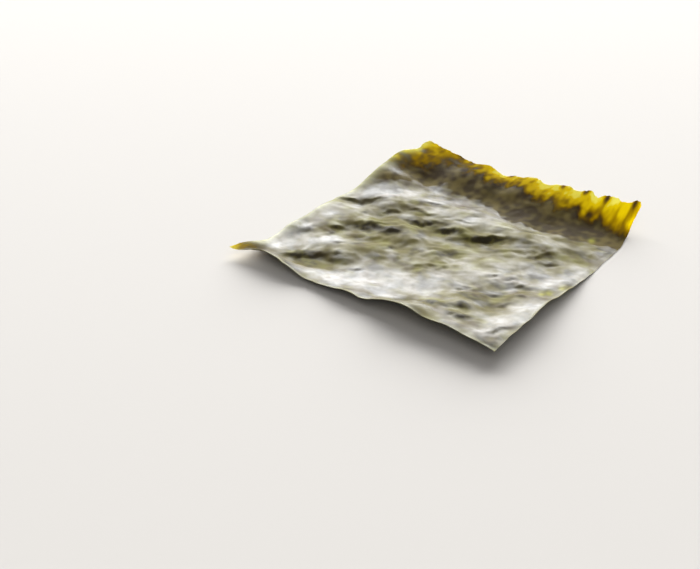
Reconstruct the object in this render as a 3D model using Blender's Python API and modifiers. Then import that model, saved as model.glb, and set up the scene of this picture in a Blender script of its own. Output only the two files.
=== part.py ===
"""A quarter sheet of roasted nori: one thin, wavy, crinkled leaf.

Metres, +Z up. The leaf lies on z = 0 with its centre over the origin. Its cut front edge is at -Y
and its ragged natural edge at +Y, where the leaf lifts and its right corner curls up. The left
edge is natural too, the right edge is cut.

The leaf is laid out flat first, at (across, along) in millimetres, and then bent into shape.
"""

import math
from collections import namedtuple

import bmesh
import bpy
from mathutils import Vector, geometry, noise

NAME = "nori_sheet"
COLLECTION = "roasted_nori_sheet"
METRES = 0.001  # one millimetre

# The flat leaf, in millimetres
WIDTH = 95.0
LENGTH = 104.0
DRAWN_IN = 2.2  # the ragged edge is this much narrower at each end, and the front edge wider
THICKNESS = 0.22

# The ragged edge: tufts between round-bottomed notches, and a thin ruffled band behind them
Notch = namedtuple("Notch", "across width depth")
NOTCHES = (
    Notch(-35.0, 4.0, 0.7),
    Notch(-22.0, 2.2, 0.6),
    Notch(-10.5, 4.2, 1.3),
    Notch(-3.9, 1.8, 1.5),
    Notch(8.0, 3.2, 1.9),
    Notch(19.6, 2.2, 1.1),
    Notch(27.6, 1.9, 1.8),
    Notch(38.6, 2.4, 1.1),
)
FRAY = 0.5  # how far the tufts stray in and out
FRINGE = 9.0  # depth of the ruffled band
RUFFLE = 0.55

# The other edges: how far they stray from a straight line
RIM_STRAY = 0.7
CUT_STRAY = 0.2

# How the leaf turns up towards its ragged edge
LIFT_FROM = 25.0
LIFT_OVER = 8.0
LIFT_ANGLE = 13.0
CURL_FROM = 39.0
CURL_OVER = 5.0
CURL_ANGLE = 36.0
CURL_CORNER = 48.0  # where along the width the curl is fullest
CURL_SPREAD = 21.0

# The surface: most of it lies this high, and it rests where its hollows reach the floor
LEVEL = 1.0
Ridge = namedtuple("Ridge", "across along heading length width height")
SWELLS = (
    Ridge(-39.0, -53.0, 0.0, 13.0, 6.0, 4.8),  # lip of the left front corner
    Ridge(-50.0, -52.0, 45.0, 5.0, 4.0, 1.6),
    Ridge(-51.0, -43.0, 90.0, 5.5, 4.0, 1.9),
    Ridge(14.0, -55.0, 57.0, 26.0, 7.5, 5.2),  # hump in the front edge, steeper on its left
    Ridge(26.0, -55.0, 60.0, 20.0, 8.0, 2.0),
    Ridge(-6.0, -54.0, 0.0, 15.0, 10.0, 3.0),  # the front edge stands off the floor
    Ridge(7.0, -54.0, 0.0, 5.0, 8.0, 1.5),
    Ridge(36.5, -53.0, 0.0, 13.0, 14.0, 4.4),
    Ridge(50.0, -32.0, 90.0, 25.0, 9.0, 3.8),  # raised right edge
    Ridge(48.0, 28.0, 90.0, 16.0, 13.0, -1.6),  # rests here
    Ridge(-45.0, -38.0, 90.0, 6.0, 9.0, -1.5),  # and here
    Ridge(-49.0, -15.0, 90.0, 20.0, 9.0, 1.4),
    Ridge(-47.0, 23.0, 90.0, 13.0, 13.0, 4.9),  # lobe of the left edge
    Ridge(-48.0, 36.0, 90.0, 9.0, 7.0, 3.1),
    Ridge(-9.0, 56.0, 90.0, 12.0, 8.0, -2.6),  # dips in the ragged edge
    Ridge(-28.0, 56.0, 90.0, 12.0, 11.0, -3.2),
    Ridge(0.0, 31.0, 0.0, 90.0, 9.0, -0.9),  # hollow before the lift
    Ridge(-16.0, 41.0, 0.0, 34.0, 5.5, 1.0),  # and the crest after it
)
CREASES = (
    Ridge(-12.0, 13.0, 6.0, 32.0, 6.0, 1.3),
    Ridge(3.0, -1.0, -4.0, 17.0, 3.2, -1.3),
    Ridge(-38.0, 3.0, 38.0, 13.0, 2.8, -0.8),
    Ridge(-27.0, -27.0, 16.0, 15.0, 4.5, 1.1),
    Ridge(-24.0, -41.0, 20.0, 14.0, 5.0, -1.3),
    Ridge(-4.0, -32.0, 62.0, 16.0, 5.0, -1.3),
    Ridge(31.0, -38.0, 52.0, 12.0, 3.5, -0.7),
    Ridge(34.0, -24.0, 48.0, 10.0, 3.5, 0.8),
    Ridge(20.0, 16.0, -12.0, 15.0, 4.0, 0.8),
    Ridge(-10.0, 26.0, 4.0, 24.0, 5.0, -0.7),
)
CRINKLES = ((15.0, 0.65), (7.0, 0.4))  # size and height of each grade of crinkle

# Spacing of the points that the leaf's faces hang on
COARSE = 2.6
FINE = 1.1
RAGGED_STEP = 0.8

NORI_GREEN = (0.035, 0.042, 0.018, 1.0)


def clear_scene():
    for thing in list(bpy.data.objects):
        bpy.data.objects.remove(thing)


def smooth(value, start, over):
    """Runs from 0 at start to 1 at start + over."""
    x = min(max((value - start) / over, 0.0), 1.0)
    return x * x * (3.0 - 2.0 * x)


def waver(position, size, row):
    """Smooth irregular values between about -1 and 1, the same each run."""
    return 1.6 * noise.noise(Vector((position / size, row, 0.5)))


def half_width(along):
    return WIDTH / 2 - DRAWN_IN * along / (LENGTH / 2)


def left_edge(along):
    stray = 0.7 * waver(along, 7.0, 3.7) + 0.3 * waver(along, 2.4, 5.1)
    return -half_width(along) + RIM_STRAY * stray


def right_edge(along):
    return half_width(along) + CUT_STRAY * waver(along, 16.0, 8.3)


def front_edge(across):
    return -LENGTH / 2 + CUT_STRAY * waver(across, 16.0, 11.9)


def notched(across):
    """How far the notches cut into the ragged edge at a place along it."""
    return sum(
        notch.depth * math.exp(-abs((across - notch.across) / notch.width) ** 3)
        for notch in NOTCHES
    )


def ragged_edge(across):
    stray = 0.6 + 0.5 * waver(across, 5.0, 23.1) + 0.4 * waver(across, 2.1, 29.7)
    return LENGTH / 2 - notched(across) - FRAY * stray


def span(start, end, step):
    """Evenly spaced places from start up to, but without, end."""
    count = max(round(abs(end - start) / step), 1)
    return [start + (end - start) * i / count for i in range(count)]


def outline():
    """The leaf's rim, anticlockwise from its left front corner."""
    low, high = front_edge(0.0), LENGTH / 2 - 2 * FRAY
    points = [(x, front_edge(x)) for x in span(left_edge(low), right_edge(low), 2.0)]
    points += [(right_edge(y), y) for y in span(low, high, 2.0)]
    points += [(x, ragged_edge(x)) for x in span(right_edge(high), left_edge(high), RAGGED_STEP)]
    points += [(left_edge(y), y) for y in span(high, low, 1.6)]
    return points


def inside(across, along, margin):
    return (
        left_edge(along) + margin < across < right_edge(along) - margin
        and front_edge(across) + margin < along < ragged_edge(across) - margin
    )


def lattice():
    """Staggered rows of points, closer together in the fringe."""
    points = []
    along = -LENGTH / 2
    row = 0
    while along < LENGTH / 2:
        step = FINE if along > LENGTH / 2 - FRINGE else COARSE
        offset = 0.5 * step * (row % 2)
        count = int(WIDTH / step) + 2
        for i in range(-count // 2 - 1, count // 2 + 2):
            if inside(i * step + offset, along, 0.45 * step):
                points.append((i * step + offset, along))
        along += step * math.sqrt(3.0) / 2
        row += 1
    return points


def ridge_height(ridge, across, along):
    """A rounded ridge, or a hollow, long along its heading."""
    turn = math.radians(ridge.heading)
    x, y = across - ridge.across, along - ridge.along
    lengthwise = (x * math.cos(turn) + y * math.sin(turn)) / ridge.length
    crosswise = (y * math.cos(turn) - x * math.sin(turn)) / ridge.width
    return ridge.height * math.exp(-(lengthwise**2) - crosswise**2)


def crinkle(across, along):
    return sum(
        height * 1.5 * noise.noise(Vector((across / size, along / size, size)))
        for size, height in CRINKLES
    )


def surface_height(across, along):
    """The leaf's height before it turns up."""
    ridges = sum(ridge_height(ridge, across, along) for ridge in SWELLS + CREASES)
    return LEVEL + ridges + crinkle(across, along)


def curl_angle(across):
    """How far the leaf curls at its ragged edge: fully at the right, a little at the left."""
    right = math.exp(-(((across - CURL_CORNER) / CURL_SPREAD) ** 2))
    left = 0.2 * math.exp(-(((across + CURL_CORNER) / CURL_SPREAD) ** 2))
    return math.radians(CURL_ANGLE) * (right + left)


def turned_up(across, along):
    """How far back and how high a point lies, walking up the bend in short steps."""
    start = LIFT_FROM
    if along <= start:
        return along, 0.0
    steps = math.ceil(2.0 * (along - start))
    step = (along - start) / steps
    back, up = start, 0.0
    later = 7.0 * smooth(across, 10.0, 30.0)
    for i in range(steps):
        here = start + (i + 0.5) * step
        angle = math.radians(LIFT_ANGLE) * smooth(here, LIFT_FROM + later, LIFT_OVER)
        angle += curl_angle(across) * smooth(here, CURL_FROM, CURL_OVER)
        back += step * math.cos(angle)
        up += step * math.sin(angle)
    return back, up


def ruffle(across, along):
    """Short waves across the fringe, deepest at its tip and to the right."""
    reach = smooth(along, LENGTH / 2 - FRINGE, FRINGE)
    strength = 0.5 + 0.5 * smooth(across, -15.0, 45.0)
    wave = waver(across, 4.6, 37.9) + 0.45 * waver(across, 2.3, 41.3)
    return RUFFLE * reach * strength * wave


def shaped(point):
    """Where a point of the flat leaf lies. Hollows that would pass the floor lie flat on it."""
    across, along = point
    back, up = turned_up(across, along)
    height = surface_height(across, along) + up + ruffle(across, along)
    return Vector((across, back, max(height, 0.0))) * METRES


def leaf_surface():
    """The open lower face of the leaf, in triangles."""
    rim = outline()
    points = [Vector(p) for p in rim + lattice()]
    edges = [(i, (i + 1) % len(rim)) for i in range(len(rim))]
    flat, _, faces, *_ = geometry.delaunay_2d_cdt(points, edges, [], 1, 1e-6)
    mesh = bpy.data.meshes.new(NAME)
    mesh.from_pydata([shaped(point) for point in flat], [], faces)
    mesh.update()
    return mesh


def face_upwards(mesh):
    work = bmesh.new()
    work.from_mesh(mesh)
    for face in work.faces:
        if face.normal.z < 0:
            face.normal_flip()
    work.to_mesh(mesh)
    work.free()


def centre(mesh):
    """Moves the leaf so that the middle of its plan is over the origin."""
    for axis in (0, 1):
        places = [vertex.co[axis] for vertex in mesh.vertices]
        shift = (min(places) + max(places)) / 2
        for vertex in mesh.vertices:
            vertex.co[axis] -= shift


def nori_material():
    material = bpy.data.materials.new("roasted_nori")
    material.use_nodes = True
    shader = material.node_tree.nodes["Principled BSDF"]
    shader.inputs["Base Color"].default_value = NORI_GREEN
    shader.inputs["Roughness"].default_value = 0.42
    shader.inputs["Metallic"].default_value = 0.0
    return material


def thicken(leaf):
    """Gives the open surface its thickness, upwards, and keeps the cut edge crisp."""
    shell = leaf.modifiers.new("Thickness", "SOLIDIFY")
    shell.thickness = THICKNESS * METRES
    shell.offset = 1.0
    evaluated = leaf.evaluated_get(bpy.context.evaluated_depsgraph_get())
    solid = bpy.data.meshes.new_from_object(evaluated)
    leaf.modifiers.clear()
    leaf.data = solid
    solid.shade_smooth()
    solid.set_sharp_from_angle(angle=math.radians(40.0))


def make_leaf(collection):
    mesh = leaf_surface()
    face_upwards(mesh)
    centre(mesh)
    mesh.materials.append(nori_material())
    leaf = bpy.data.objects.new(NAME, mesh)
    collection.objects.link(leaf)
    thicken(leaf)


def main():
    clear_scene()
    collection = bpy.data.collections.new(COLLECTION)
    bpy.context.scene.collection.children.link(collection)
    make_leaf(collection)


main()
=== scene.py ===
"""The looks of one leaf of roasted nori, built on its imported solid."""

import math
from collections import namedtuple

import bpy
import numpy as np
from mathutils import Matrix, Vector
from mathutils.bvhtree import BVHTree


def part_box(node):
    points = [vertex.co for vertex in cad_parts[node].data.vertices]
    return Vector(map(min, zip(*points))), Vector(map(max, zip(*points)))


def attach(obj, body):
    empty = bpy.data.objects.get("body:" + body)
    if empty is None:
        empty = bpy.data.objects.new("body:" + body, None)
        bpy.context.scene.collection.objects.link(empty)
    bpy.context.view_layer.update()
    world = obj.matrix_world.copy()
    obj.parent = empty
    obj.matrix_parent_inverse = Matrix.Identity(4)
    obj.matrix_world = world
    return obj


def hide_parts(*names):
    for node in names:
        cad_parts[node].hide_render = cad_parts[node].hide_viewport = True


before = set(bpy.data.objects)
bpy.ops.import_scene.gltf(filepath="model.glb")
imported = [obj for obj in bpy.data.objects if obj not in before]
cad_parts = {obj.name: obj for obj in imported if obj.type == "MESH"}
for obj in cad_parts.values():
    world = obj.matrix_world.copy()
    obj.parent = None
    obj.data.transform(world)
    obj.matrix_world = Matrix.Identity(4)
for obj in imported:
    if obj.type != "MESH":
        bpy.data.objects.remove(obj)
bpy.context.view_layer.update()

NODE = "nori_sheet"
MM = 0.001

# The leaf's fine surface: cells across its width, and from its front to its ragged edge
CELLS_ACROSS = 205
CELLS_ALONG = 218

# Smoothing of the solid's facets. A band along the ragged edge keeps its ruffles
SMOOTHING = 1.0 * MM
FRINGE_SMOOTHING = 0.35 * MM
FRINGE_BAND = 8.0 * MM

THICKNESS = 0.17 * MM
FRINGE_THICKNESS = 0.09 * MM
FLOOR_GAP = 0.01 * MM

# Frayed edges: how far they are nibbled inwards from the solid's outline, and how closely
FRAY_DEPTH = 0.6 * MM
FRAY_PITCH = 2.2 * MM
RIM_NIBBLE = 0.45 * MM
RIM_NIBBLE_PITCH = 2.2 * MM
CUT_NIBBLE = 0.06 * MM
CUT_NIBBLE_PITCH = 1.2 * MM

# The cut edges bend down a little: how far, and how deep in from the edge
FRONT_LIP = 0.05 * MM
FRONT_LIP_DEPTH = 1.3 * MM
RIGHT_LIP = 0.10 * MM
RIGHT_LIP_DEPTH = 2.0 * MM

# A nick in the left rim, near the far corner
NOTCH_AT = 42.0 * MM
NOTCH_HALF = 4.0 * MM
NOTCH_DEPTH = 1.7 * MM

# Where the leaf's edges lie beside the solid's, in millimetres, and how far to x, y and z
Reach = namedtuple("Reach", "x y heading length width by")
REACHES = (
    Reach(-49.0, -52.0, 20.0, 6.0, 3.5, (-1.2, -1.8, -1.2)),  # the left front tip
    Reach(-50.0, 31.0, 90.0, 10.0, 4.0, (-1.2, 0.0, 1.0)),  # the left rim before the nick
    Reach(47.0, 43.0, 90.0, 7.0, 5.0, (-1.6, 0.0, 0.2)),  # the right far corner, drawn in
)
RIM_REACH = 1.3 * MM  # the left rim, all along between its ends
RIM_DEPTH = 2.5 * MM  # how far in from the rim this fades out

# The thin yellow fringe at places along the ragged edge: how deep it is, and how clear
FRINGE_AT = (
    (-46.0, 28.0, 0.63),
    (-42.0, 27.0, 0.62),
    (-37.0, 23.0, 0.58),
    (-31.0, 16.0, 0.50),
    (-27.0, 13.0, 0.48),
    (-23.0, 12.0, 0.60),
    (-18.0, 14.0, 0.72),
    (-13.0, 14.0, 0.84),
    (-8.0, 12.0, 0.92),
    (-4.0, 11.0, 0.92),
    (-1.0, 11.0, 0.88),
    (3.0, 12.0, 0.88),
    (10.0, 14.0, 1.05),
    (18.0, 14.0, 1.00),
    (25.0, 12.0, 0.90),
    (32.0, 11.0, 0.88),
    (41.0, 11.0, 0.76),
    (46.0, 11.5, 0.70),
)

# Where the matt strip before the ragged edge starts, at places along it
STRIP_AT = (
    (-46.0, 13.0),
    (-41.0, 15.0),
    (-38.0, 17.5),
    (-36.0, 21.5),
    (-34.0, 24.5),
    (-31.0, 26.5),
    (-24.0, 30.0),
    (-17.0, 28.0),
    (-10.0, 29.5),
    (0.0, 28.0),
    (9.0, 23.0),
    (17.0, 23.5),
    (25.0, 24.0),
    (31.0, 25.0),
    (37.0, 28.0),
    (43.0, 31.0),
    (49.0, 28.0),
)

# Folds that show one by one, in millimetres: each rises to the back across its width
Fold = namedtuple("Fold", "x y heading length width height")
FOLDS = (
    Fold(-13.2, 4.9, 20.0, 7.5, 1.5, 0.46),  # the long crease across the middle
    Fold(-3.0, 5.1, 15.0, 5.0, 1.6, 0.50),
    Fold(9.5, 7.5, 30.0, 7.5, 1.8, 0.62),
    Fold(10.0, 15.0, 31.0, 2.7, 1.0, 0.15),
    Fold(-27.0, -10.5, 35.0, 4.5, 2.2, 0.50),  # its fellow to the left
    Fold(-18.5, -8.0, 25.0, 5.0, 2.2, 0.50),
    Fold(-34.0, -17.5, 38.0, 2.7, 1.4, 0.30),
    Fold(-42.5, 1.2, 35.0, 6.0, 1.0, 0.30),  # from the left edge
    Fold(-34.5, 6.8, 34.0, 5.0, 0.9, 0.07),
    Fold(-33.0, -3.5, 48.0, 1.6, 1.0, 0.18),
    Fold(-26.5, 3.5, 40.0, 2.8, 1.0, 0.18),
    Fold(-19.5, 9.0, 5.0, 5.5, 1.1, 0.20),
    Fold(-2.0, 13.0, 15.0, 3.5, 0.8, 0.14),
    Fold(-18.5, 17.0, 15.0, 4.0, 1.1, 0.16),
    Fold(-46.5, -28.0, 37.0, 2.0, 0.9, 0.08),
    Fold(-40.5, -23.5, 60.0, 3.0, 1.2, 0.13),
    Fold(-34.0, -24.0, 45.0, 2.0, 0.9, 0.14),
    Fold(-27.5, -25.5, 55.0, 1.6, 0.9, 0.14),
    Fold(-32.2, -39.0, 41.0, 6.5, 2.0, 0.46),  # a cluster at the left front
    Fold(-27.5, -40.0, 20.0, 2.0, 1.3, 0.24),
    Fold(-22.0, -35.0, 10.0, 5.0, 1.3, 0.19),
    Fold(-23.5, -31.5, 30.0, 2.5, 1.3, 0.24),
    Fold(-14.5, -35.5, 20.0, 2.7, 1.1, 0.20),
    Fold(-12.5, -17.0, 58.0, 4.0, 1.3, 0.24),
    Fold(4.0, -8.0, 58.0, 4.6, 2.0, 0.42),
    Fold(3.5, -19.5, 37.0, 3.3, 0.9, 0.14),
    Fold(8.5, -17.0, 80.0, 2.7, 0.9, 0.12),
    Fold(29.0, 9.5, 39.0, 4.0, 1.5, 0.30),  # below the right corner
    Fold(34.5, 7.0, 37.0, 3.7, 0.9, 0.14),
    Fold(36.5, 19.5, 20.0, 3.2, 1.3, 0.14),
    Fold(24.0, -11.5, 42.0, 2.6, 1.3, 0.22),
    Fold(30.0, -8.5, 62.0, 3.0, 1.0, 0.16),
    Fold(35.5, -12.0, 20.0, 5.8, 1.7, 0.30),
    Fold(39.5, -20.0, 20.0, 2.0, 1.0, 0.17),
    Fold(21.5, -23.5, 36.0, 4.7, 1.4, 0.26),
    Fold(29.5, -23.0, 18.0, 3.7, 1.3, 0.22),
    Fold(36.5, -26.0, 39.0, 4.2, 1.2, 0.16),
    Fold(19.0, -42.0, -20.0, 4.0, 2.0, 0.44),  # towards the front corner
    Fold(29.0, -37.0, 52.0, 3.7, 1.7, 0.36),
    Fold(32.5, -43.5, 39.0, 3.8, 1.7, 0.34),
    Fold(45.5, -43.0, 80.0, 3.5, 1.5, 0.34),
)

# Wide slopes that ease the solid's own, so that the leaf lies smoother there
EASINGS = (
    Fold(-38.0, 8.0, 32.0, 9.5, 4.0, -0.75),
    Fold(-42.5, 8.5, 36.0, 6.0, 4.0, -0.25),
    Fold(-33.5, 10.5, 34.0, 5.0, 3.5, -0.20),
    Fold(-39.0, 16.0, 40.0, 6.0, 3.5, -0.25),
    Fold(-40.5, -34.0, 36.0, 8.0, 4.0, -0.48),
    Fold(-27.5, -30.5, 34.0, 6.0, 3.0, -0.24),
    Fold(14.0, 12.3, 30.0, 6.0, 3.0, -0.20),
    Fold(-7.5, -32.0, 30.0, 7.0, 3.0, -0.28),
    Fold(24.0, 0.5, 34.0, 6.0, 3.0, -0.28),
    Fold(7.0, -35.0, 25.0, 6.0, 3.0, -0.15),
    Fold(-2.0, 12.5, 18.0, 12.0, 3.2, -0.35),
    Fold(-6.5, -26.5, 34.0, 8.0, 3.5, -0.40),
    Fold(3.0, -42.0, 190.0, 9.0, 3.5, -0.32),
    Fold(48.0, -28.0, 260.0, 14.0, 4.5, -0.50),
)

# Areas that wear makes duller and more wrinkled than the rest, or that stay glossier and
# smoother where the amount is below 0
Area = namedtuple("Area", "x y heading length width amount")
WEAR = 0.52
GLOSSY_AREAS = (
    Area(-38.5, 12.0, 35.0, 10.0, 3.5, -0.60),
    Area(-14.0, 21.0, 20.0, 10.0, 3.5, -0.45),
    Area(-1.0, 15.0, 20.0, 7.0, 2.5, -0.35),
    Area(-46.5, -10.0, 45.0, 7.0, 2.5, -0.45),
    Area(-42.0, -32.0, 40.0, 10.0, 5.5, -0.80),
    Area(-43.0, -21.0, 38.0, 5.0, 2.5, -0.40),
    Area(-30.0, -27.0, 38.0, 8.0, 2.5, -0.35),
    Area(2.0, -43.0, 10.0, 9.0, 3.0, -0.50),
    Area(14.0, 12.0, 20.0, 6.0, 2.0, -0.35),
    Area(-5.0, -34.0, 25.0, 11.0, 5.0, -0.80),
    Area(9.0, -32.0, 20.0, 9.0, 4.5, -0.70),
    Area(-15.0, -44.0, 20.0, 10.0, 4.5, -0.60),
    Area(26.0, -1.0, 30.0, 8.0, 3.0, -0.60),
    Area(19.5, 9.5, 30.0, 6.0, 2.0, -0.40),
    Area(20.0, -14.0, 35.0, 9.0, 3.5, -0.35),
    Area(43.5, 3.0, 70.0, 12.0, 3.5, -0.60),
    Area(6.0, 12.5, 25.0, 5.0, 2.0, -0.40),
    Area(44.0, -34.0, 80.0, 14.0, 4.0, -0.70),
    Area(-2.0, 0.0, 25.0, 6.0, 2.5, -0.40),
    Area(-9.5, 14.0, 20.0, 6.0, 3.0, -0.35),
    Area(-43.0, -15.0, 40.0, 6.0, 2.5, -0.45),
    Area(-35.5, 10.5, 42.0, 8.0, 2.5, -0.50),
    Area(-31.0, 17.5, 42.0, 6.0, 2.5, -0.50),
    Area(1.5, 13.5, 25.0, 6.0, 2.5, -0.40),
    Area(-41.0, -10.5, 40.0, 5.0, 2.5, -0.50),
)
DULL_AREAS = (
    Area(-4.0, 0.0, 25.0, 36.0, 15.0, 0.20),
    Area(-19.0, -2.0, 28.0, 13.0, 3.5, 0.55),
    Area(-37.0, -21.5, 38.0, 6.0, 2.0, 0.50),
    Area(-26.0, -41.5, 20.0, 8.0, 2.5, 0.50),
    Area(21.0, -44.5, 0.0, 5.0, 2.0, 0.30),
    Area(-19.0, 15.5, 25.0, 6.0, 2.0, 0.45),
    Area(-17.0, -17.0, 30.0, 11.0, 5.0, 0.35),
    Area(-30.5, -38.5, 38.0, 8.0, 3.5, 0.45),
    Area(31.0, -24.0, 32.0, 11.0, 3.0, 0.55),
    Area(33.0, 10.0, 35.0, 10.0, 3.5, 0.32),
    Area(33.0, 25.0, 45.0, 8.0, 4.0, 0.22),
    Area(38.0, -15.0, 45.0, 6.0, 2.5, 0.40),
    Area(8.0, 7.0, 25.0, 12.0, 3.5, 0.40),
    Area(4.0, -9.0, 40.0, 8.0, 4.0, 0.30),
    Area(26.0, -41.0, 35.0, 8.0, 3.5, 0.25),
    Area(33.0, -30.5, 35.0, 6.0, 2.5, 0.35),
    Area(-35.5, -25.5, 40.0, 4.0, 2.0, 0.45),
    Area(-44.5, -3.0, 35.0, 4.0, 1.5, 0.35),
    Area(38.0, -44.0, 30.0, 5.0, 3.0, 0.40),
    Area(29.5, -28.0, 35.0, 6.0, 2.5, 0.30),
    Area(14.5, -41.0, 25.0, 5.0, 2.5, 0.40),
    Area(-8.5, -14.5, 25.0, 7.0, 2.0, 0.30),
)

# Where the matt strip is paler, or darker where below 0, and a gap in it
STRIP_AREAS = (
    Area(9.5, 30.5, 10.0, 7.0, 5.0, -0.90),
    Area(28.5, 34.5, 25.0, 9.0, 5.0, -0.85),
    Area(-30.0, 37.5, 0.0, 6.0, 3.0, -0.70),
    Area(-15.0, 35.0, 20.0, 4.0, 2.5, -0.50),
    Area(17.0, 38.5, 30.0, 3.5, 3.0, 0.60),
    Area(42.0, 33.0, 40.0, 8.0, 4.0, 0.40),
    Area(-37.0, 25.0, 40.0, 6.0, 4.0, 0.50),
)
STRIP_GAP = Area(-41.0, 25.0, 20.0, 3.5, 1.8, 0.70)

# Where the leaf is greener than its roasted brown
OLIVE_EVERYWHERE = 0.10
OLIVE_AREAS = (
    Area(-14.0, -10.0, 15.0, 34.0, 20.0, 1.0),
    Area(26.0, 13.0, 15.0, 28.0, 13.0, 0.9),
    Area(26.0, -38.0, 40.0, 18.0, 10.0, 0.7),
    Area(-26.0, -40.0, 25.0, 16.0, 7.0, 0.3),
)

# The left front tip is thin, most of all at its end
TIP_AREA = Area(-48.0, -49.5, 45.0, 7.0, 5.0, 0.5)
TIP_END = Area(-50.0, -52.0, 45.0, 4.5, 4.0, 1.0)

# Small yellow-green flecks of painted light, for light shining through thin spots, and thick tufts
# of the ragged edge, placed along it and in from it
PAINTED_FLECKS = tuple(
    Area(x, y, 115.0, 1.9, 1.0, 0.7)
    for x, y in ((36.7, 31.0), (48.0, 11.0), (45.8, -5.7), (42.7, -12.9), (44.2, -10.9))
)
KNOTS = tuple(Area(x, 1.0, 80.0, 2.0, 1.3, 0.7) for x in (-6.8, 14.3, 23.3, 32.0, 43.5))

# The way that the crinkles run, and how drawn out they are
GRAIN_HEADING = 34.0
GRAIN_STRETCH = 1.5

# Relief between the folds, in millimetres: a lump's size, its least height and what wear adds
Relief = namedtuple("Relief", "size least worn")
SWELLS = Relief(6.5, 0.10, 0.62)
PUCKERS = Relief(3.8, 0.03, 0.18)
WRINKLES = Relief(2.6, 0.01, 0.07)

# The camera: the leaf's middle is seen at this pixel of a 700 x 569 picture
PICTURE = (700.0, 569.0)
LEAF_PIXEL = (450.2, 238.0)
SENSOR = 36.0
LENS = 61.7
TURN = math.radians(37.7)
RISE = math.radians(31.3)
ROLL = math.radians(0.75)
DISTANCE = 402.3 * MM
LOOK_HEIGHT = 1.8 * MM

# The softboxes: how far behind the leaf and how high they stand, in metres, and their light
Softbox = namedtuple("Softbox", "name behind height size power colour")
SOFTBOXES = (
    Softbox("back_softbox", 3.0, 1.45, (5.0, 2.9), 400.0, (0.98, 0.99, 1.0)),
    Softbox("front_softbox", -2.4, 2.6, (2.4, 2.4), 30.0, (1.0, 1.0, 1.0)),
)
SKY = (0.22, 0.22, 0.22)
FLOOR_HALF = 6.0  # metres


# ---------------------------------------------------------------------------------------------
# Patterns
# ---------------------------------------------------------------------------------------------


def smooth(value, start, over):
    """Runs from 0 at start to 1 at start + over."""
    x = np.clip((value - start) / over, 0.0, 1.0)
    return x * x * (3.0 - 2.0 * x)


def near(distance, depth):
    """1 at an edge, fading out over a depth."""
    return np.exp(-((distance / depth) ** 2))


def grain(x, y, size, seed):
    """Smooth random values between about -1 and 1 that change over about size."""
    u, v = x / size, y / size
    column, row = np.floor(u).astype(int), np.floor(v).astype(int)
    repeat = 512  # the pattern starts again after so many lumps
    angles = np.random.default_rng(seed).uniform(0.0, 2.0 * math.pi, (repeat, repeat))
    fade_u, fade_v = smooth(u - column, 0.0, 1.0), smooth(v - row, 0.0, 1.0)

    def corner(across, along):
        angle = angles[(column + across) % repeat, (row + along) % repeat]
        return (u - column - across) * np.cos(angle) + (v - row - along) * np.sin(angle)

    front = corner(0, 0) * (1 - fade_u) + corner(1, 0) * fade_u
    behind = corner(0, 1) * (1 - fade_u) + corner(1, 1) * fade_u
    return 1.5 * (front * (1 - fade_v) + behind * fade_v)


def creased(x, y, size, seed):
    """Like grain, but folded: rounded swells that meet in creases."""
    wander_x = x + 0.4 * size * grain(x, y, 1.7 * size, seed + 1)
    wander_y = y + 0.4 * size * grain(x, y, 1.7 * size, seed + 2)
    return 2.0 * np.sqrt(grain(wander_x, wander_y, size, seed) ** 2 + 0.03) - 0.7


def stretched(x, y, heading, ratio):
    """The plan turned and squeezed, so that a pattern on it is drawn out along the heading."""
    turn = math.radians(heading)
    along = x * math.cos(turn) + y * math.sin(turn)
    across = y * math.cos(turn) - x * math.sin(turn)
    return along / ratio, across


def lengthways(mark, x, y):
    """How far points lie along and across a mark, counted in its own lengths and widths."""
    turn = math.radians(mark.heading)
    from_x, from_y = x - mark.x * MM, y - mark.y * MM
    along = (from_x * math.cos(turn) + from_y * math.sin(turn)) / (mark.length * MM)
    across = (from_y * math.cos(turn) - from_x * math.sin(turn)) / (mark.width * MM)
    return along, across


def spot(mark, x, y):
    """1 at a mark and 0 away from it."""
    along, across = lengthways(mark, x, y)
    return np.exp(-(along**2) - across**2)


def total(areas, x, y):
    """What the amounts of areas add up to at each point."""
    return sum(area.amount * spot(area, x, y) for area in areas)


# ---------------------------------------------------------------------------------------------
# The solid's own surface
# ---------------------------------------------------------------------------------------------


def solid_tree():
    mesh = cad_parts[NODE].data
    places = [vertex.co for vertex in mesh.vertices]
    return BVHTree.FromPolygons(places, [tuple(face.vertices) for face in mesh.polygons])


def height_at(tree, x, y):
    """The top of the solid over a point of the plan, or None beside it."""
    hit, *_ = tree.ray_cast(Vector((x, y, 0.1)), Vector((0.0, 0.0, -1.0)))
    return None if hit is None else hit.z


def edge_from(tree, inner, outer):
    """The last point of the solid on the way from inner to outer, in plan."""
    for _ in range(12):
        middle = ((inner[0] + outer[0]) / 2, (inner[1] + outer[1]) / 2)
        if height_at(tree, *middle) is None:
            outer = middle
        else:
            inner = middle
    return inner


class Outline:
    """The solid's plan as four edges. Each can be read at any place along it."""

    def __init__(self, tree):
        low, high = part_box(NODE)
        deep, out = 7.0 * MM, 1.0 * MM  # each edge lies between these, in and out from the box
        self.rows = np.linspace(low.y + 0.8 * MM, high.y - deep, 240)
        self.left = np.array(
            [edge_from(tree, (low.x + deep, y), (low.x - out, y))[0] for y in self.rows]
        )
        self.right = np.array(
            [edge_from(tree, (high.x - deep, y), (high.x + out, y))[0] for y in self.rows]
        )
        self.columns = np.linspace(self.left[-1] + 0.5 * MM, self.right[-1] - 0.5 * MM, 400)
        self.front = np.array(
            [edge_from(tree, (x, low.y + deep), (x, low.y - out))[1] for x in self.columns]
        )
        self.back = np.array(
            [edge_from(tree, (x, high.y - deep), (x, high.y + out))[1] for x in self.columns]
        )

    def left_at(self, y):
        return np.interp(y, self.rows, self.left)

    def right_at(self, y):
        return np.interp(y, self.rows, self.right)

    def front_at(self, x):
        return np.interp(x, self.columns, self.front)

    def back_at(self, x):
        return np.interp(x, self.columns, self.back)


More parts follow.
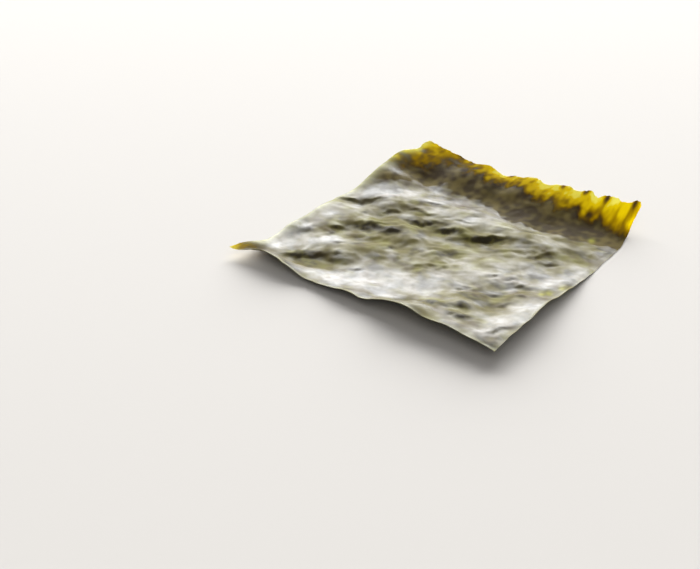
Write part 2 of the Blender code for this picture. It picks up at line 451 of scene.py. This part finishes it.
# ---------------------------------------------------------------------------------------------
# The leaf
# ---------------------------------------------------------------------------------------------


def frayed(x):
    """How far the ragged edge is frayed beyond its notches, no two strands alike."""
    phase = x / FRAY_PITCH + 0.8 * grain(x, 0 * x, 7.0 * MM, 41)
    notch = (1.0 - np.abs(np.sin(math.pi * phase))) ** 1.6
    depth = np.clip(0.4 + 1.1 * grain(x, 0 * x, 3.0 * MM, 42), 0.0, 1.3)
    return FRAY_DEPTH * (notch * depth + 0.35 * (1.0 + grain(x, 0 * x, 1.3 * MM, 43)))


def nibbled(place, size, depth, seed):
    """A frayed line: mostly shallow, with a few deeper nicks."""
    bites = 0.5 + 0.5 * grain(place, 0 * place, size, seed)
    bites = bites + 0.35 * grain(place, 0 * place, 0.4 * size, seed + 1)
    return depth * np.clip(bites, 0.0, 1.3)


def plan(outline):
    """The leaf's points in plan, and how far each lies from the four edges.

    The rows run from front to back, and each from left to right.
    """
    low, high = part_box(NODE)
    across = np.linspace(0.0, 1.0, CELLS_ACROSS + 1)[None, :]
    along = np.linspace(0.0, 1.0, CELLS_ALONG + 1)[:, None]
    y = low.y + along * (high.y - low.y) + 0.0 * across
    for _ in range(2):
        left = outline.left_at(y) + nibbled(y, RIM_NIBBLE_PITCH, RIM_NIBBLE, 51)
        left = left + NOTCH_DEPTH * near(y - NOTCH_AT, NOTCH_HALF)
        right = outline.right_at(y) - nibbled(y, CUT_NIBBLE_PITCH, CUT_NIBBLE, 53)
        x = left + across * (right - left)
        front = outline.front_at(x) + nibbled(x, CUT_NIBBLE_PITCH, CUT_NIBBLE, 55)
        back = outline.back_at(x) - frayed(x)
        y = front + along * (back - front)
    return x, y, outline.back_at(x) - y, x - left, y - front, right - x


def extended(line):
    """Heights along a line, carried on at the same slope where the solid ends."""
    fewest, span = 12, 4  # cells that the line must have, and that its slope is taken over
    known = np.flatnonzero(~np.isnan(line))
    if len(known) < fewest:
        return line
    places = np.arange(len(line))
    filled = np.interp(places, known, line[known])
    first, last = known[0], known[-1]
    before, after = places < first, places > last
    filled[before] += (places[before] - first) * (filled[first + span] - filled[first]) / span
    filled[after] += (places[after] - last) * (filled[last] - filled[last - span]) / span
    return filled


def blurred(field, cells):
    """A field smoothed over a number of cells each way."""
    reach = int(math.ceil(3.0 * cells))
    steps = np.arange(-reach, reach + 1)
    weights = np.exp(-0.5 * (steps / cells) ** 2)
    weights /= weights.sum()
    for axis in (0, 1):
        room = [(0, 0), (0, 0)]
        room[axis] = (reach, reach)
        padded = np.pad(field, room, mode="edge")
        field = np.apply_along_axis(np.convolve, axis, padded, weights, mode="valid")
    return field


class Heights:
    """The solid's top as a smooth height field over its plan."""

    def __init__(self, tree):
        low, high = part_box(NODE)
        margin, cell = 3.0 * MM, 0.42 * MM
        self.cell, self.start = cell, (low.x - margin, low.y - margin)
        self.columns = self.start[0] + cell * np.arange(int((high.x - low.x + 2 * margin) / cell))
        self.rows = self.start[1] + cell * np.arange(int((high.y - low.y + 2 * margin) / cell))
        field = np.full((len(self.rows), len(self.columns)), np.nan)
        for row, y in enumerate(self.rows):
            for column, x in enumerate(self.columns):
                height = height_at(tree, x, y)
                if height is not None:
                    field[row, column] = height
        field = np.apply_along_axis(extended, 0, field)
        field = np.apply_along_axis(extended, 1, field)
        self.wide = blurred(field, SMOOTHING / cell)
        self.narrow = blurred(field, FRINGE_SMOOTHING / cell)

    def at(self, field, x, y):
        """Reads a field at points of the plan, between its cells."""
        across, along = (x - self.start[0]) / self.cell, (y - self.start[1]) / self.cell
        column, row = np.floor(across).astype(int), np.floor(along).astype(int)
        right, back = across - column, along - row
        front = field[row, column] * (1 - right) + field[row, column + 1] * right
        behind = field[row + 1, column] * (1 - right) + field[row + 1, column + 1] * right
        return front * (1 - back) + behind * back

    def over(self, x, y, to_edge):
        """The fringe keeps its ruffles; the rest is smoothed more."""
        share = smooth(to_edge, 0.0, FRINGE_BAND)
        return self.at(self.narrow, x, y) * (1.0 - share) + self.at(self.wide, x, y) * share


def wandering(x, y):
    """The plan bent a little, so that the lines drawn on it wander."""
    bend_x = 1.3 * grain(x, y, 6.0 * MM, 45) + 0.9 * grain(x, y, 2.4 * MM, 47)
    bend_y = 1.3 * grain(x, y, 6.0 * MM, 46) + 0.9 * grain(x, y, 2.4 * MM, 48)
    return x + bend_x * MM, y + bend_y * MM


def folded(folds, x, y):
    """The height that folds add: a hollow in front of each and a swell behind it."""
    height = 0.0 * x
    for fold in folds:
        along, across = lengthways(fold, x, y)
        height += fold.height * across * np.exp(0.5 - 0.5 * across**2 - 0.9 * along**2)
    return height


def painted_crease_shade(x, y):
    """Painted shade: dark lines painted along the folds, for the shade that falls in their creases.
    """
    dark = 0.0 * x
    bent_x, bent_y = wandering(x, y)
    for fold in FOLDS:
        along, across = lengthways(fold, bent_x, bent_y)
        dark += 2.1 * fold.height * np.exp(-((across / 0.8) ** 2) - 0.9 * along**2)
    broken = 1.0 + 0.7 * grain(x, y, 2.6 * MM, 50) + 0.6 * grain(x, y, 1.3 * MM, 58)
    return np.clip(dark * broken, 0.0, 0.95)


def wear(x, y):
    """How wrinkled and dull the leaf is: around 0.5, less where it is smooth and glossy."""
    return WEAR + total(GLOSSY_AREAS + DULL_AREAS, x, y)


def relief(x, y, to_edge, to_rim):
    """Single folds, swells between them, then puckers and finer wrinkles."""
    rough = np.clip(wear(x, y), 0.10, 1.0)

    # It is calmer towards the ragged edge and the left rim
    calm = 1.0 - 0.5 * smooth(-to_edge, -21.0 * MM, 8.0 * MM)
    calm *= 0.45 + 0.55 * smooth(to_rim, 0.0, 6.0 * MM)

    along, across = stretched(x, y, GRAIN_HEADING, GRAIN_STRETCH)
    swells = (SWELLS.least + SWELLS.worn * rough) * grain(along, across, SWELLS.size * MM, 60)
    puckers = PUCKERS.least + PUCKERS.worn * rough
    puckers = puckers * creased(along, across, PUCKERS.size * MM, 61)
    wrinkles = (WRINKLES.least + WRINKLES.worn * rough) * creased(x, y, WRINKLES.size * MM, 64)
    fine = 0.010 * grain(x, y, 1.5 * MM, 67) - 0.006 * creased(x, y, 1.3 * MM, 69)
    folds = folded(FOLDS, *wandering(x, y)) * (1.0 + 0.7 * grain(x, y, 3.0 * MM, 49))
    eased = folded(EASINGS, x, y)
    return (folds + eased + calm * (swells + puckers - wrinkles + fine)) * MM


def lips(to_front, to_right):
    """How far the cut edges bend down."""
    return FRONT_LIP * near(to_front, FRONT_LIP_DEPTH) + RIGHT_LIP * near(to_right, RIGHT_LIP_DEPTH)


def streaks(x, y):
    """Streaks that run in from the ragged edge."""
    return 0.28 * grain(x, 0.45 * y, 2.3 * MM, 72) + 0.18 * grain(x, 0.5 * y, 1.2 * MM, 73)


def fringe_share(x, y, to_edge):
    """How thin the fringe is: streaked and patchy, thinnest at its edge, with thick tufts."""
    places, depths, clarities = np.array(FRINGE_AT).T
    depth = np.interp(x, places * MM, depths * MM)
    depth *= 1.0 + 0.30 * grain(x, 0.3 * y, 3.2 * MM, 71) + 0.12 * grain(x, y, 1.4 * MM, 74)
    inwards = to_edge / depth
    clarity = np.interp(x, places * MM, clarities)
    patches = 0.40 * grain(x, y, 2.8 * MM, 79)
    fringe = clarity * (0.80 + streaks(x, y) + patches * (1.4 - clarity))
    fringe += 0.30 * clarity * (1.0 - smooth(inwards, 0.0, 0.40))
    for knot in KNOTS:
        fringe *= 1.0 - knot.amount * spot(knot, x, to_edge)
    return fringe * (1.0 - smooth(inwards, 0.35, 0.85))


def thinness(x, y, to_edge, to_rim):
    """How clearly light passes: 1 in the palest of the fringe, 0 in the thick of the leaf."""
    tip = total((TIP_AREA,), x, y) * (1.0 + 2.0 * streaks(x, y))
    tip = np.maximum(tip, total((TIP_END,), x, y))
    rim = 0.55 * near(to_rim, 3.0 * MM) * smooth(y, 20.0 * MM, 12.0 * MM)
    rim *= 0.9 + 0.8 * grain(x, y, 2.8 * MM, 79)
    thin = np.maximum(np.maximum(fringe_share(x, y, to_edge), rim), tip)
    return np.clip(thin, 0.0, 1.0)


def painted_rim_light(y, to_rim, to_front, to_right):
    """Painted light: the left rim painted pale for the light that shines through it, and thin
    painted highlights along the cut edges.
    """
    wide = (2.2 + 1.0 * grain(y, 0 * y, 6.0 * MM, 75)) * MM
    # The painted light is uneven along the rim
    worn = 0.85 + 0.35 * grain(y, 0.5 * to_rim, 2.5 * MM, 76)
    left = near(to_rim, wide) * smooth(y, -52.0 * MM, 12.0 * MM)
    # Painted highlight lines along the front and right cut edges
    cut_edge_highlight = 0.45 * near(to_front, 0.9 * MM)
    cut_edge_highlight += 0.25 * near(to_right, 1.2 * MM) * smooth(-y, -20.0 * MM, 15.0 * MM)
    return np.clip(worn, 0.0, 1.0) * np.clip(left + cut_edge_highlight, 0.0, 1.0)


def strip_share(x, y):
    """The matt strip before the ragged edge, and the edge itself."""
    places, starts = np.array(STRIP_AT).T * MM
    start = np.interp(x, places, starts)
    ragged = 2.0 * MM * grain(x, y, 7.0 * MM, 77) + 1.8 * MM * grain(x, y, 2.6 * MM, 78)
    strip = smooth(y + ragged, start - 0.5 * MM, 2.5 * MM)
    return strip * (1.0 - total((STRIP_GAP,), x, y))


def strip_shade(x, y):
    """How pale the matt strip is: 0 in its dark blotches, 1 where it is palest."""
    blotches = 0.60 * grain(x, y, 4.5 * MM, 85) + 0.80 * grain(x, y, 2.4 * MM, 86)
    return np.clip(0.58 + blotches + total(STRIP_AREAS, x, y), 0.0, 1.0)


def dull_share(x, y, crease_shade):
    """Duller patches between the glossy ones. The creases are dull too."""
    patches = 0.38 * grain(x, y, 7.0 * MM, 81) + 0.24 * grain(x, y, 3.2 * MM, 82)
    return np.clip(np.maximum(wear(x, y) + 0.05 + patches, 0.9 * crease_shade), 0.0, 0.9)


def painted_fleck_light(x, y):
    """Painted light: small yellow-green flecks near the right edge, for light shining through thin
    spots.
    """
    broken = 1.0 + 0.6 * grain(x, y, 1.6 * MM, 83)
    return np.clip(total(PAINTED_FLECKS, x, y) * broken, 0.0, 0.8)


def leaf_fields(x, y, to_edge, to_rim, to_front, to_right):
    """What the material reads at each point of the leaf, by name."""
    crease_shade = painted_crease_shade(x, y)
    return {
        "thin": thinness(x, y, to_edge, to_rim),
        # painted light at the left rim and along the cut edges
        "rim": painted_rim_light(y, to_rim, to_front, to_right),
        "olive": np.clip(OLIVE_EVERYWHERE + total(OLIVE_AREAS, x, y), 0.0, 1.0),
        "strip": strip_share(x, y),
        "shade": strip_shade(x, y),
        "dull": dull_share(x, y, crease_shade),
        # painted shade along the folds' creases
        "crease_shade": crease_shade,
        # painted light in the flecks
        "fleck_light": painted_fleck_light(x, y),
    }


def drawn_out(x, y, to_rim):
    """How far each point moves where the leaf's edges lie beside the solid's."""
    moved = sum(spot(reach, x, y)[..., None] * np.array(reach.by) * MM for reach in REACHES)
    between = smooth(y, -42.0 * MM, 14.0 * MM) * (1.0 - smooth(y, 33.0 * MM, 9.0 * MM))
    moved[..., 0] -= RIM_REACH * between * near(to_rim, RIM_DEPTH)
    return moved


def leaf_points(tree, outline):
    """The top and under side of the leaf, as grids of points, and its fields."""
    x, y, to_edge, to_rim, to_front, to_right = plan(outline)
    base = np.stack([x, y, Heights(tree).over(x, y, to_edge)], -1)
    across, along = np.gradient(base, axis=1), np.gradient(base, axis=0)
    normal = np.cross(across, along)
    normal /= np.linalg.norm(normal, axis=-1, keepdims=True)
    raised = relief(x, y, to_edge, to_rim) - lips(to_front, to_right)
    top = base + normal * raised[..., None]
    thin = 1.0 - smooth(to_edge, 0.5 * MM, 6.0 * MM)
    thickness = THICKNESS + (FRINGE_THICKNESS - THICKNESS) * thin
    under = top - normal * thickness[..., None]

    # Nothing sinks into the floor, and the edges move to where they lie
    sunk = np.maximum(FLOOR_GAP - under[..., 2], 0.0)
    moved = drawn_out(x, y, to_rim)
    for side in (top, under):
        side[..., 2] += sunk
        side += moved
    return top, under, leaf_fields(x, y, to_edge, to_rim, to_front, to_right)


def grid_faces(rows, columns, start, flip):
    """The quads of a grid of points, counted from start."""
    first = start + np.arange(rows - 1)[:, None] * columns + np.arange(columns - 1)[None, :]
    quads = np.stack([first, first + 1, first + columns + 1, first + columns], -1).reshape(-1, 4)
    return quads[:, ::-1] if flip else quads


def rim_faces(rows, columns):
    """The quads that close the leaf's edge, between the top and the under side."""
    index = np.arange(rows * columns).reshape(rows, columns)
    loop = np.concatenate([index[0, :-1], index[:-1, -1], index[-1, :0:-1], index[:0:-1, 0]])
    following = np.roll(loop, -1)
    under = rows * columns
    return np.stack([loop, loop + under, following + under, following], -1)


def mark_sharp(mesh, rim, side_points):
    """Keeps the leaf's two sides from being shaded into each other round its rim."""
    on_rim = np.zeros(len(mesh.vertices), bool)
    on_rim[rim.reshape(-1)] = True
    ends = np.empty(2 * len(mesh.edges), np.int32)
    mesh.edges.foreach_get("vertices", ends)
    ends = ends.reshape(-1, 2)
    same_side = (ends < side_points).sum(1) != 1
    sharp = on_rim[ends].all(1) & same_side
    mesh.attributes.new("sharp_edge", "BOOLEAN", "EDGE").data.foreach_set("value", sharp)


def leaf_mesh(top, under, fields):
    rows, columns = top.shape[:2]
    points = np.concatenate([top.reshape(-1, 3), under.reshape(-1, 3)])
    upper = grid_faces(rows, columns, 0, False)
    lower = grid_faces(rows, columns, rows * columns, True)
    rim = rim_faces(rows, columns)
    mesh = bpy.data.meshes.new("nori_leaf")
    mesh.from_pydata(points.tolist(), [], np.concatenate([upper, lower, rim]).tolist())
    mesh.update()
    for name, field in fields.items():
        values = np.concatenate([field.reshape(-1), field.reshape(-1)])
        mesh.attributes.new(name, "FLOAT", "POINT").data.foreach_set("value", values)
    mesh.shade_smooth()
    mark_sharp(mesh, rim, rows * columns)
    return mesh


# ---------------------------------------------------------------------------------------------
# Materials
# ---------------------------------------------------------------------------------------------


class Material:
    """A material's node tree, with short calls for the nodes used here."""

    COLOUR_INPUTS, COLOUR_OUTPUT = (6, 7), 2  # of a Mix node, whose sockets share their names

    def __init__(self, name):
        self.material = bpy.data.materials.new(name)
        self.material.use_nodes = True
        self.tree = self.material.node_tree
        self.shader = self.tree.nodes["Principled BSDF"]
        self.out = self.tree.nodes["Material Output"]
        self.place = None

    def node(self, kind, inputs=None, **settings):
        made = self.tree.nodes.new(kind)
        for name, value in settings.items():
            setattr(made, name, value)
        for name, value in (inputs or {}).items():
            self.put(value, made.inputs[name])
        return made

    def put(self, value, socket):
        """Links an output to a socket, or sets the socket to a plain value."""
        if isinstance(value, bpy.types.NodeSocket):
            self.tree.links.new(value, socket)
        elif isinstance(value, tuple) and len(value) == 3 and socket.type == "RGBA":
            socket.default_value = (*value, 1.0)
        else:
            socket.default_value = value

    def field(self, name):
        """A field of the mesh, by its name."""
        return self.node("ShaderNodeAttribute", attribute_name=name).outputs["Fac"]

    def noise(self, size, detail=2.0, roughness=0.5, stretch=(1.0, 1.0, 1.0)):
        """Noise whose lumps are about this many millimetres across."""
        if self.place is None:
            self.place = self.node("ShaderNodeTexCoord").outputs["Object"]
        scale = tuple(1.0 / (MM * size * along) for along in stretch)
        mapped = self.node("ShaderNodeMapping", {"Vector": self.place, "Scale": scale})
        inputs = {"Vector": mapped.outputs["Vector"], "Scale": 1.0}
        inputs.update({"Detail": detail, "Roughness": roughness})
        return self.node("ShaderNodeTexNoise", inputs).outputs["Fac"]

    def remap(self, value, low, high, to_low=0.0, to_high=1.0):
        """Goes smoothly from to_low to to_high as value goes from low to high."""
        inputs = {"Value": value, "From Min": low, "From Max": high}
        inputs.update({"To Min": to_low, "To Max": to_high})
        made = self.node("ShaderNodeMapRange", inputs, interpolation_type="SMOOTHSTEP")
        return made.outputs["Result"]

    def math(self, operation, first, second):
        made = self.node("ShaderNodeMath", operation=operation)
        self.put(first, made.inputs[0])
        self.put(second, made.inputs[1])
        return made.outputs["Value"]

    def plus(self, first, second):
        return self.math("ADD", first, second)

    def times(self, first, second):
        return self.math("MULTIPLY", first, second)

    def mix(self, factor, first, second):
        """Goes from the first shader to the second as factor goes from 0 to 1."""
        made = self.node("ShaderNodeMixShader", {"Fac": factor})
        self.put(first, made.inputs[1])
        self.put(second, made.inputs[2])
        return made.outputs["Shader"]

    def blend(self, factor, first, second):
        """Goes from the first colour to the second as factor goes from 0 to 1."""
        made = self.node("ShaderNodeMix", data_type="RGBA")
        self.put(factor, made.inputs[0])
        self.put(first, made.inputs[self.COLOUR_INPUTS[0]])
        self.put(second, made.inputs[self.COLOUR_INPUTS[1]])
        return made.outputs[self.COLOUR_OUTPUT]


# Colours of the leaf's surface
ROASTED = (0.034, 0.027, 0.010)
BROWN = (0.076, 0.053, 0.017)
OLIVE = (0.124, 0.104, 0.024)
GREEN = (0.158, 0.144, 0.030)
# Painted shade in the creases
CREASE_SHADE = (0.024, 0.018, 0.006)
STRIP = (0.129, 0.097, 0.028)
STRIP_DARK = (0.035, 0.021, 0.006)
# Painted light for the flecks, where light shines through thin spots
FLECK_PAINTED_LIGHT = (0.30, 0.29, 0.03)
# Painted light for the left rim and the cut edges
RIM_PAINTED_LIGHT = (0.54, 0.53, 0.31)

# Colours of the light that passes through it, from its thicker parts to its palest
DARK_AMBER = (0.30, 0.20, 0.005)
AMBER = (0.52, 0.39, 0.006)
YELLOW = (0.84, 0.72, 0.028)
PALE = (0.95, 0.93, 0.42)

FLOOR = (0.590, 0.565, 0.534)


def leaf_colour(nori, field):
    """Roasted brown-black, mottled with olive, with the strip and fringe on it, painted shade in
    the creases and painted light in the flecks and rim.
    """
    olive = field["olive"]
    colour = nori.blend(nori.remap(nori.noise(7.0, 2.0), 0.40, 0.60), ROASTED, BROWN)
    broad = nori.remap(nori.noise(15.0, 1.0), 0.40, 0.60, 0.15, 0.80)
    colour = nori.blend(nori.times(olive, broad), colour, OLIVE)

    # Finer mottles and specks, more of them where the leaf is greener, fewer where it is glossy
    dulled = nori.remap(field["dull"], 0.10, 0.60, 0.30, 1.0)
    mottle = nori.plus(nori.noise(5.0, 1.6, 0.5, (1.4, 1.0, 1.0)), nori.times(olive, 0.18))
    colour = nori.blend(nori.times(nori.remap(mottle, 0.44, 0.72), dulled), colour, OLIVE)
    specks = nori.plus(nori.noise(6.0, 1.0, 0.5), nori.times(olive, 0.12))
    colour = nori.blend(nori.times(nori.remap(specks, 0.56, 0.84), dulled), colour, GREEN)

    # Painted shade: the creases are darkened in the colour
    colour = nori.blend(field["crease_shade"], colour, CREASE_SHADE)
    blotched = nori.blend(field["shade"], STRIP_DARK, STRIP)
    colour = nori.blend(nori.times(field["strip"], 0.85), colour, blotched)
    # Painted light: flecks painted yellow-green where light shines through thin spots
    colour = nori.blend(field["fleck_light"], colour, FLECK_PAINTED_LIGHT)
    # The fringe's yellow is partly its own colour, partly painted light for the light shining
    # through it
    colour = nori.blend(nori.remap(field["thin"], 0.30, 0.90, 0.0, 0.85), colour, YELLOW)
    # Painted light: the pale rim, and highlight lines along the cut edges
    return nori.blend(field["rim"], colour, RIM_PAINTED_LIGHT)


def fibre_bump(nori):
    """The fibres of the leaf."""
    fibres = nori.plus(nori.noise(0.9, 2.0), nori.times(nori.noise(0.35, 1.0), 0.5))
    inputs = {"Height": fibres, "Strength": 0.25, "Distance": 0.045 * MM}
    return nori.node("ShaderNodeBump", inputs).outputs["Normal"]


def passing_light(nori, field):
    """Where the leaf is thin, light passes: yellow in the fringe, amber where it thickens."""
    thin = field["thin"]
    colour = nori.blend(nori.remap(thin, 0.15, 0.50), DARK_AMBER, AMBER)
    colour = nori.blend(nori.remap(thin, 0.42, 0.80), colour, YELLOW)
    colour = nori.blend(nori.remap(thin, 0.85, 1.05), colour, PALE)
    colour = nori.blend(field["rim"], colour, PALE)
    glow = nori.node("ShaderNodeBsdfTranslucent", {"Color": colour})
    through_fringe = nori.remap(thin, 0.04, 0.55, 0.0, 0.90)
    share = nori.math("MAXIMUM", through_fringe, nori.times(field["rim"], 0.4))
    return share, glow.outputs["BSDF"]


def nori_material():
    """Satin and glossy, with a matt strip and dull patches, and see-through where it is thin."""
    nori = Material("roasted_nori")
    names = ("thin", "rim", "olive", "strip", "shade", "dull", "crease_shade", "fleck_light")
    field = {name: nori.field(name) for name in names}
    colour, bump = leaf_colour(nori, field), fibre_bump(nori)

    satin = nori.remap(nori.noise(2.2, 3.0, 0.6), 0.35, 0.70, 0.37, 0.50)
    glossy_inputs = {"Base Color": colour, "Roughness": satin, "IOR": 1.6, "Normal": bump}
    for name, value in glossy_inputs.items():
        nori.put(value, nori.shader.inputs[name])
    matt_inputs = {"Base Color": colour, "Roughness": 0.75, "Normal": bump}
    matt_inputs["Specular IOR Level"] = 0.08
    matt = nori.node("ShaderNodeBsdfPrincipled", matt_inputs)
    matt_share = nori.math("MAXIMUM", nori.times(field["strip"], 0.97), field["dull"])
    surface = nori.mix(matt_share, nori.shader.outputs["BSDF"], matt.outputs["BSDF"])
    share, glow = passing_light(nori, field)
    nori.put(nori.mix(share, surface, glow), nori.out.inputs["Surface"])
    return nori.material


def floor_material():
    floor = Material("pale_floor")
    floor.put(FLOOR, floor.shader.inputs["Base Color"])
    floor.put(0.9, floor.shader.inputs["Roughness"])
    return floor.material


# ---------------------------------------------------------------------------------------------
# Stage, light and camera
# ---------------------------------------------------------------------------------------------


def link(thing):
    bpy.context.scene.collection.objects.link(thing)
    return thing


def make_floor():
    half = FLOOR_HALF
    corners = [(-half, -half, 0.0), (half, -half, 0.0), (half, half, 0.0), (-half, half, 0.0)]
    mesh = bpy.data.meshes.new("floor")
    mesh.from_pydata(corners, [], [(0, 1, 2, 3)])
    mesh.materials.append(floor_material())
    link(bpy.data.objects.new("floor", mesh))


def camera_axes():
    """Right, up and backwards, as the camera sees them."""
    back = Vector(
        (math.sin(TURN) * math.cos(RISE), -math.cos(TURN) * math.cos(RISE), math.sin(RISE))
    )
    right = Vector((math.cos(TURN), math.sin(TURN), 0.0))
    up = back.cross(right)
    turn = Matrix.Rotation(ROLL, 3, back)
    return turn @ right, turn @ up, back


def make_camera():
    right, up, back = camera_axes()
    per_pixel = DISTANCE * SENSOR / LENS / PICTURE[0]
    aside = (LEAF_PIXEL[0] - PICTURE[0] / 2) * per_pixel
    above = (PICTURE[1] / 2 - LEAF_PIXEL[1]) * per_pixel
    place = Vector((0.0, 0.0, LOOK_HEIGHT)) + back * DISTANCE - right * aside - up * above
    data = bpy.data.cameras.new("camera")
    data.lens = LENS
    data.sensor_width = SENSOR
    camera = link(bpy.data.objects.new("camera", data))
    turned = Matrix((right, up, back)).transposed().to_4x4()
    camera.matrix_world = Matrix.Translation(place) @ turned
    bpy.context.scene.camera = camera


def softbox_light(box):
    """A rectangular light that faces the leaf."""
    behind = Vector((-math.sin(TURN), math.cos(TURN), 0.0))
    data = bpy.data.lights.new(box.name, "AREA")
    data.shape = "RECTANGLE"
    data.size, data.size_y = box.size
    data.energy = box.power
    data.color = box.colour
    light = link(bpy.data.objects.new(box.name, data))
    light.location = behind * box.behind + Vector((0.0, 0.0, box.height))
    light.rotation_euler = (-light.location).to_track_quat("-Z", "Y").to_euler()


def make_lights():
    """A low softbox behind the leaf, which it mirrors, and a high one in front to fill in."""
    for box in SOFTBOXES:
        softbox_light(box)
    world = bpy.data.worlds.new("studio")
    world.use_nodes = True
    world.node_tree.nodes["Background"].inputs["Color"].default_value = (*SKY, 1.0)
    bpy.context.scene.world = world
    bpy.context.scene.view_settings.view_transform = "Standard"


def make_leaf():
    tree = solid_tree()
    mesh = leaf_mesh(*leaf_points(tree, Outline(tree)))
    mesh.materials.append(nori_material())
    leaf = link(bpy.data.objects.new("nori_leaf", mesh))
    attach(leaf, "root")
    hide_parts(NODE)


make_leaf()
make_floor()
make_lights()
make_camera()
